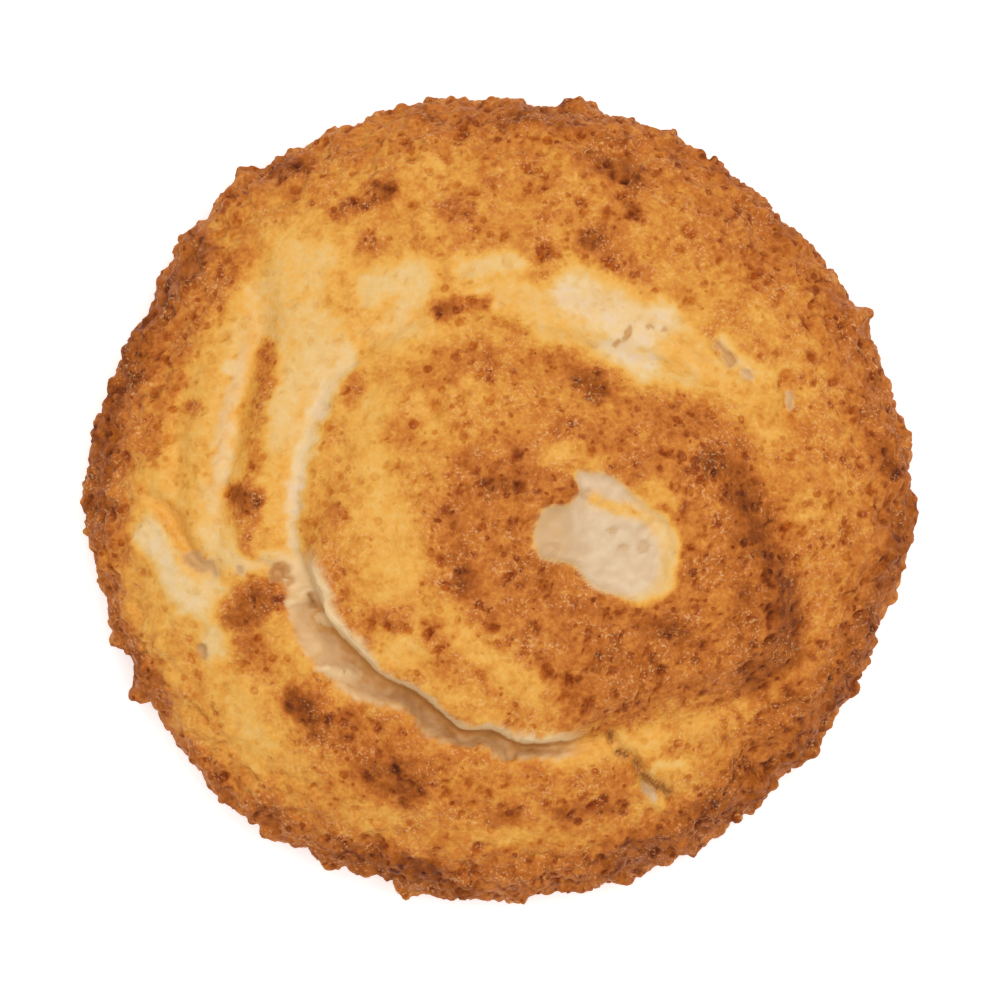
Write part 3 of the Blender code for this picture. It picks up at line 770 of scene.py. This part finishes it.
def browningOf(points):
    x, y, z = points.T
    flat = flatPoints(x, y)
    warpX = 1.5 * softNoise(flat, 6.0, (3, 1, 0)) + 0.7 * softNoise(flat, 2.2, (9, 1, 0))
    warpY = 1.5 * softNoise(flat, 6.0, (5, 7, 0)) + 0.7 * softNoise(flat, 2.2, (6, 4, 0))
    ragged = 0.65 * softNoise(flat, 1.5, (8, 8, 0)) + 0.35 * softNoise(flat, 0.7, (8, 3, 0))
    wx = x + 0.35 * warpX
    wy = y + 0.35 * warpY
    angle = np.degrees(np.arctan2(wy, wx)) % 360
    inward = outlineRadius(angle) - np.hypot(wx, wy) + 0.8 * warpX
    tone = around(ringTone["ring"], angle)
    rim = 1 - smoothStep(0.15, 1.0, inward / around(ringTone["reach"], angle))
    tone += rim * (around(ringTone["rim"], angle) - tone)
    beyond = fromSwirl(wx, wy)[2]
    middle = atPixel(*capTone["middleAt"])
    fromMiddle = np.hypot(wx - middle[0], wy - middle[1]) / (capTone["middleReach"] * photo["mmPerPixel"])
    cap = capTone["edge"] + (capTone["middle"] - capTone["edge"]) * (1 - smoothStep(0.55, 1.0, fromMiddle))
    tone += smoothStep(0.0, 2.0, -beyond) * (cap - tone)
    for toneWanted, halfWidth, feather, route in list(paleMarks.values()) + list(brownMarks.values()):
        share = markShare(wx, wy, halfWidth, feather, route, ragged)
        tone += share * (toneWanted - tone)
    rawX, rawY = formPoints[:, 0], formPoints[:, 1]
    gapAngle, _, pastLip = fromSwirl(rawX, rawY)
    nearGap = tornShare(gapAngle) * smoothStep(-0.2, 0.2, pastLip)
    nearGap *= 1 - smoothStep(0.95, 1.45, (pastLip + 0.5 * ragged) / around(swirl["gapWidth"], gapAngle))
    tone += edgeTone["creviceStrength"] * nearGap * (edgeTone["crevice"] - tone)
    fromBare = fromTip(rawX, rawY)
    east = smoothStep(0.0, 4.0, rawX - tip["centre"][0])
    bareEdge = 1 - smoothStep(0.90 + 0.02 * east, 1.0 + 0.12 * east, fromBare + 0.06 * ragged)
    tone += bareEdge * (edgeTone["tip"] - tone)
    for toneWanted, halfWidth, feather, route in tipYellow.values():
        tone += markShare(rawX, rawY, halfWidth, feather, route, 0.5 * ragged) * (toneWanted - tone)
    lively = 0.35 + 0.65 * smoothStep(0.15, 0.45, tone)
    tone += lively * sum(strength * softNoise(flat, size, shift) for size, strength, shift in uneven.values())
    patches = softNoise(points, 5.0, (1, 1, 1)) + 0.6 * softNoise(points, 1.8, (2, 1, 1))
    low = 1 - smoothStep(5.0, 9.0, z)
    tone += low * (sideTone["middle"] + sideTone["patches"] * patches - tone)
    tone += sideTone["foot"] * (1 - smoothStep(0.3, 2.0, z)) * (under <= 0)
    tone = np.where(onBase, sideTone["base"] + sideTone["patches"] * patches - 0.10 * under, tone)
    return np.clip(tone, 0, 1)


# No crumb is bare below this height. Then how dense the pores are on pale, brown and bare crumb, and how
# much stronger than the holes their darkening is, partly browner crust and partly painted shade in the holes
bareFrom = form["widestHeight"] + 4
poreDensity = {"pale": 0.25, "brown": 1.0, "bare": 0.05, "holeDarkening": 1.8}

pushOutLip(crust)
rawCrumb, rawShade, rawCool = crumbShare(formPoints[:, 0], formPoints[:, 1])
rawCrumb *= formPoints[:, 2] > bareFrom
browning = browningOf(getPoints(crust) / mm)
addCrumb(crust, rawCrumb)
brownShare = smoothStep(0.35, 0.75, browning)
poreShare = poreDensity["pale"] + (poreDensity["brown"] - poreDensity["pale"]) * brownShare
pore = addPores(crust, poreShare * (1 - (1 - poreDensity["bare"]) * rawCrumb))
setPoints(crust, fitToSolid(getPoints(crust) / mm) * mm)
storeMask(crust, "browning", browning)
storeMask(crust, "rawCrumb", rawCrumb)
storeMask(crust, "rawShade", rawShade)
storeMask(crust, "rawCool", rawCool)
storeMask(crust, "pore", np.clip(poreDensity["holeDarkening"] * pore, 0, 1))
bpy.ops.object.shade_smooth()
print("crust sculpted and browned")


# Colours as red, green and blue from 0 to 255. The first two tables are keyed by browning, the raw ones by
# how shaded the crumb is
crustFinish = {
    "browning": {
        0.0: (224, 196, 163), 0.07: (227, 194, 142), 0.17: (225, 182, 112), 0.25: (227, 172, 87),
        0.32: (224, 163, 72), 0.39: (217, 150, 64), 0.46: (208, 137, 55), 0.535: (200, 122, 48),
        0.61: (189, 109, 42), 0.68: (177, 97, 34), 0.78: (157, 81, 18), 0.88: (131, 60, 11),
        0.98: (104, 44, 8),
    },
    # the pores' darker colours, partly browner crust and partly painted shade in the holes
    "porous": {
        0.1: (212, 160, 76), 0.25: (208, 138, 46), 0.4: (190, 102, 22), 0.55: (160, 72, 12),
        0.7: (124, 50, 10), 0.85: (88, 32, 8), 0.98: (58, 18, 6),
    },
    "raw": {
        0.0: (229, 195, 145), 0.25: (223, 189, 140), 0.48: (219, 181, 131), 0.68: (202, 149, 86),
        0.80: (190, 134, 72), 1.0: (160, 108, 52),
    },
    "rawCool": {
        0.0: (222, 197, 164), 0.10: (217, 189, 154), 0.30: (206, 173, 135), 0.60: (202, 162, 110),
        0.90: (197, 150, 95), 1.0: (172, 120, 68),
    },
    # the glint colour is a painted highlight
    "paintedGlint": (242, 194, 138), "granular": (184, 122, 70),
    "mottleSize": 1.0, "grainSize": 0.40, "poreSize": 1.6, "glintSize": 0.8,
    "mottle": 0.14, "grain": 0.13, "poreStrength": 0.95, "glintStrength": 0.42, "granularStrength": 0.10,
    "roughness": 0.6, "roughnessSpread": 0.2, "bump": 0.6, "bumpDistance": 0.3,
    "subsurface": 0.06, "subsurfaceDepth": 0.8, "specular": 0.10,
}
# The sizes that the grain group takes, and where each is kept above
grainSizes = {
    "Mottle Size": "mottleSize", "Grain Size": "grainSize",
    "Pore Size": "poreSize", "Glint Size": "glintSize",
}


def linear(colour):
    parts = [part / 255 for part in colour]
    bent = [part / 12.92 if part <= 0.04045 else ((part + 0.055) / 1.055) ** 2.4 for part in parts]
    return (*bent, 1.0)


# How the nodes of a material are laid out, in the order in which they are added
nodeGrid = {"perRow": 10, "across": 220, "down": -320}


# sets inputs of a node to values, or links the results of other nodes to them
def feed(tree, node, inputs):
    for name, value in inputs.items():
        if isinstance(value, (int, float, tuple)):
            node.inputs[name].default_value = value
        else:
            tree.links.new(value, node.inputs[name])


def addNode(tree, kind, inputs=None, **settings):
    node = tree.nodes.new(kind)
    row, column = divmod(len(tree.nodes), nodeGrid["perRow"])
    node.location = (nodeGrid["across"] * column, nodeGrid["down"] * row)
    for name, value in settings.items():
        setattr(node, name, value)
    feed(tree, node, inputs or {})
    return node


def addMath(tree, operation, *values, clamp=False):
    node = addNode(tree, "ShaderNodeMath", dict(enumerate(values)), operation=operation, use_clamp=clamp)
    return node.outputs["Value"]


def addProduct(tree, result, *factors):
    for factor in factors:
        result = addMath(tree, "MULTIPLY", result, factor)
    return result


# of the mix node's inputs, 0 is the factor, and 6 and 7 are the colours
def addMix(tree, factor, first, second):
    return addNode(tree, "ShaderNodeMix", {0: factor, 6: first, 7: second}, data_type="RGBA").outputs[2]


def addStep(tree, value, low, high):
    inputs = {"Value": value, "From Min": low, "From Max": high}
    return addNode(tree, "ShaderNodeMapRange", inputs, interpolation_type="SMOOTHSTEP").outputs["Result"]


def addRamp(tree, value, table):
    ramp = addNode(tree, "ShaderNodeValToRGB", {"Fac": value})
    elements = ramp.color_ramp.elements
    for i, (place, colour) in enumerate(sorted(table.items())):
        element = elements[i] if i < 2 else elements.new(place)
        element.position = place
        element.color = linear(colour)
    return ramp.outputs["Color"]


# The finest look of baked coconut: soft mottling, fine grain, small pores and short painted glints,
# highlights painted into the colour.
# Its vector and its sizes are in millimetres
def crumbGrainGroup():
    group = bpy.data.node_groups.new("crumbGrain", "ShaderNodeTree")
    group.interface.new_socket("Vector", in_out="INPUT", socket_type="NodeSocketVector")
    for name, kept in grainSizes.items():
        socket = group.interface.new_socket(name, in_out="INPUT", socket_type="NodeSocketFloat")
        socket.default_value = crustFinish[kept]
    for name in ("Mottle", "Grain", "Pore", "Glint", "Height"):
        group.interface.new_socket(name, in_out="OUTPUT", socket_type="NodeSocketFloat")
    entry = addNode(group, "NodeGroupInput").outputs
    wander = addNode(group, "ShaderNodeTexNoise", {"Vector": entry["Vector"], "Scale": 1.5})
    shifts = {0: wander.outputs["Color"], 1: (0.35, 0.35, 0.35), 2: entry["Vector"]}
    vector = addNode(group, "ShaderNodeVectorMath", shifts, operation="MULTIPLY_ADD").outputs["Vector"]

    def sizedNoise(size, factor, detail):
        scale = addMath(group, "DIVIDE", factor, entry[size])
        inputs = {"Vector": vector, "Scale": scale, "Detail": detail, "Roughness": 0.5}
        return addNode(group, "ShaderNodeTexNoise", inputs).outputs["Fac"]

    # round spots in scattered cells; the sizes are shares of a cell, and so is how many stay empty
    def spots(size, factor, smallest, spread, empty, soft):
        scale = addMath(group, "DIVIDE", factor, entry[size])
        cells = addNode(group, "ShaderNodeTexVoronoi", {"Vector": vector, "Scale": scale}).outputs
        parts = addNode(group, "ShaderNodeSeparateColor", {"Color": cells["Color"]}).outputs
        radius = addMath(group, "MULTIPLY_ADD", parts["Red"], spread, smallest)
        spot = addStep(group, addMath(group, "DIVIDE", cells["Distance"], radius), 1.1, soft)
        kept = addMath(group, "GREATER_THAN", parts["Green"], empty)
        strength = addMath(group, "MULTIPLY_ADD", parts["Blue"], 0.5, 0.5)
        return addProduct(group, spot, addProduct(group, kept, strength))

    mottle = addStep(group, sizedNoise("Mottle Size", 1.0, 1.5), 0.28, 0.72)
    grain = addStep(group, sizedNoise("Grain Size", 1.0, 1.0), 0.25, 0.75)
    cluster = addStep(group, sizedNoise("Glint Size", 0.22, 1.0), 0.38, 0.62)
    # painted highlights, short bright strokes: lines of one height in a noise, broken up by a finer one
    level = addMath(group, "SUBTRACT", sizedNoise("Glint Size", 1.2, 0.0), 0.5)
    line = addStep(group, addMath(group, "ABSOLUTE", level), 0.12, 0.02)
    broken = addStep(group, sizedNoise("Glint Size", 3.3, 0.0), 0.48, 0.70)
    paintedGlint = addProduct(group, line, broken, cluster)
    pore = addMath(group, "MAXIMUM", spots("Pore Size", 1.0, 0.19, 0.17, 0.42, 0.75),
                   spots("Pore Size", 1.9, 0.19, 0.20, 0.70, 0.7))
    height = addProduct(group, grain, 0.3)
    height = addMath(group, "MULTIPLY_ADD", mottle, 0.5, height)
    height = addMath(group, "MULTIPLY_ADD", pore, -0.45, height)
    results = {"Mottle": mottle, "Grain": grain, "Pore": pore, "Glint": paintedGlint, "Height": height}
    addNode(group, "NodeGroupOutput", results)
    return group


def crustMaterial():
    material = bpy.data.materials.new("bakedCrust")
    material.use_nodes = True
    tree = material.node_tree
    place = addNode(tree, "ShaderNodeTexCoord").outputs["Object"]
    inMillimetres = addNode(tree, "ShaderNodeMapping", {"Vector": place, "Scale": (1 / mm, 1 / mm, 1 / mm)})
    grainInputs = {name: crustFinish[kept] for name, kept in grainSizes.items()}
    grainInputs["Vector"] = inMillimetres.outputs["Vector"]
    grain = addNode(tree, "ShaderNodeGroup", grainInputs, node_tree=crumbGrainGroup()).outputs
    masks = {}
    for name in ("browning", "rawCrumb", "rawShade", "rawCool", "pore"):
        masks[name] = addNode(tree, "ShaderNodeAttribute", attribute_name=name).outputs["Fac"]

    mottled = addMath(tree, "SUBTRACT", grain["Mottle"], 0.5)
    grained = addMath(tree, "SUBTRACT", grain["Grain"], 0.5)
    browned = addStep(tree, masks["browning"], 0.12, 0.60)
    lively = addMath(tree, "MULTIPLY_ADD", browned, 0.65, 0.35)
    patchy = addProduct(tree, mottled, lively)
    tone = addMath(tree, "MULTIPLY_ADD", patchy, crustFinish["mottle"], masks["browning"])
    coarse = addMath(tree, "MULTIPLY_ADD", browned, 0.7, 0.3)
    grained = addProduct(tree, grained, coarse)
    tone = addMath(tree, "MULTIPLY_ADD", grained, crustFinish["grain"], tone, clamp=True)
    baked = addRamp(tree, tone, crustFinish["browning"])
    porous = addRamp(tree, tone, crustFinish["porous"])

    dark = addStep(tree, masks["browning"], 0.55, 0.80)
    granular = addProduct(tree, dark, grain["Grain"], crustFinish["granularStrength"])
    colour = addMix(tree, granular, baked, linear(crustFinish["granular"]))
    # the pores are darkened in the colour, partly browner crust and partly painted shade in the holes
    anyPore = addMath(tree, "MAXIMUM", grain["Pore"], masks["pore"])
    holes = addProduct(tree, coarse, anyPore, crustFinish["poreStrength"])
    colour = addMix(tree, holes, colour, porous)
    # painted highlights: the glints are mixed into the colour as a pale peach
    shine = addMath(tree, "MULTIPLY_ADD", browned, 0.75, 0.25)
    shine = addProduct(tree, shine, grain["Glint"], crustFinish["glintStrength"])
    colour = addMix(tree, shine, colour, linear(crustFinish["paintedGlint"]))

    rawTone = addMath(tree, "MULTIPLY_ADD", mottled, 0.12, masks["rawShade"], clamp=True)
    warm = addRamp(tree, rawTone, crustFinish["raw"])
    cool = addRamp(tree, rawTone, crustFinish["rawCool"])
    raw = addMix(tree, masks["rawCool"], warm, cool)
    colour = addMix(tree, masks["rawCrumb"], colour, raw)

    spread, middle = crustFinish["roughnessSpread"], crustFinish["roughness"]
    rough = addMath(tree, "MULTIPLY_ADD", mottled, spread, middle)
    rough = addMath(tree, "MULTIPLY_ADD", shine, -0.3, rough, clamp=True)
    rough = addMath(tree, "MULTIPLY_ADD", masks["rawCrumb"], -0.2, rough, clamp=True)
    crusty = addMath(tree, "MULTIPLY_ADD", masks["rawCrumb"], -0.8, 1.0)
    raised = addProduct(tree, grain["Height"], addProduct(tree, crusty, lively))
    bump = addNode(tree, "ShaderNodeBump", {
        "Strength": crustFinish["bump"], "Distance": crustFinish["bumpDistance"] * mm, "Height": raised,
    })
    feed(tree, tree.nodes["Principled BSDF"], {
        "Base Color": colour, "Roughness": rough, "Normal": bump.outputs["Normal"],
        "Subsurface Weight": crustFinish["subsurface"], "Subsurface Radius": (1.0, 0.5, 0.25),
        "Subsurface Scale": crustFinish["subsurfaceDepth"] * mm,
        "Specular IOR Level": crustFinish["specular"],
    })
    return material


bakedCrust = crustMaterial()
crust.data.materials.append(bakedCrust)
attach(crust, "root")
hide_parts("macaroon")
print("crust finished")


# Floor, lights and camera. Lengths in metres
studio = {
    "floorSize": 6.0, "floorColour": (0.93, 0.93, 0.93, 1.0), "floorRoughness": 0.9, "floorGlow": 0.42,
    "skyColour": (1.0, 1.0, 1.0, 1.0), "skyStrength": 0.52,
    "lampSize": 1.6, "lampPlace": (0.15, 0.15, 1.7), "lampPower": 21.8,
    "lens": 1500.0, "sensor": 36.0, "cameraPlace": (0.00005, 0.0, 3.9935),
}

bpy.ops.mesh.primitive_plane_add(size=studio["floorSize"], location=(0, 0, -0.0001))
floor = bpy.context.active_object
floor.name = "floor"
floorPaint = bpy.data.materials.new("floorPaint")
floorPaint.use_nodes = True
feed(floorPaint.node_tree, floorPaint.node_tree.nodes["Principled BSDF"], {
    "Base Color": studio["floorColour"], "Roughness": studio["floorRoughness"],
    "Emission Color": studio["floorColour"], "Emission Strength": studio["floorGlow"],
})
floor.data.materials.append(floorPaint)

world = bpy.data.worlds.new("sky")
world.use_nodes = True
sky = world.node_tree.nodes["Background"]
feed(world.node_tree, sky, {"Color": studio["skyColour"], "Strength": studio["skyStrength"]})
bpy.context.scene.world = world

bpy.ops.object.light_add(type="AREA", location=studio["lampPlace"])
lamp = bpy.context.active_object
lamp.name = "softLamp"
lamp.data.shape = "DISK"
lamp.data.size = studio["lampSize"]
lamp.data.energy = studio["lampPower"]
lamp.rotation_euler = Vector(studio["lampPlace"]).to_track_quat("Z", "Y").to_euler()

bpy.ops.object.camera_add(location=studio["cameraPlace"], rotation=(0, 0, 0))
camera = bpy.context.active_object
camera.data.lens = studio["lens"]
camera.data.sensor_width = studio["sensor"]
bpy.context.scene.camera = camera
bpy.context.scene.view_settings.view_transform = "Standard"
bpy.context.scene.view_settings.look = "None"
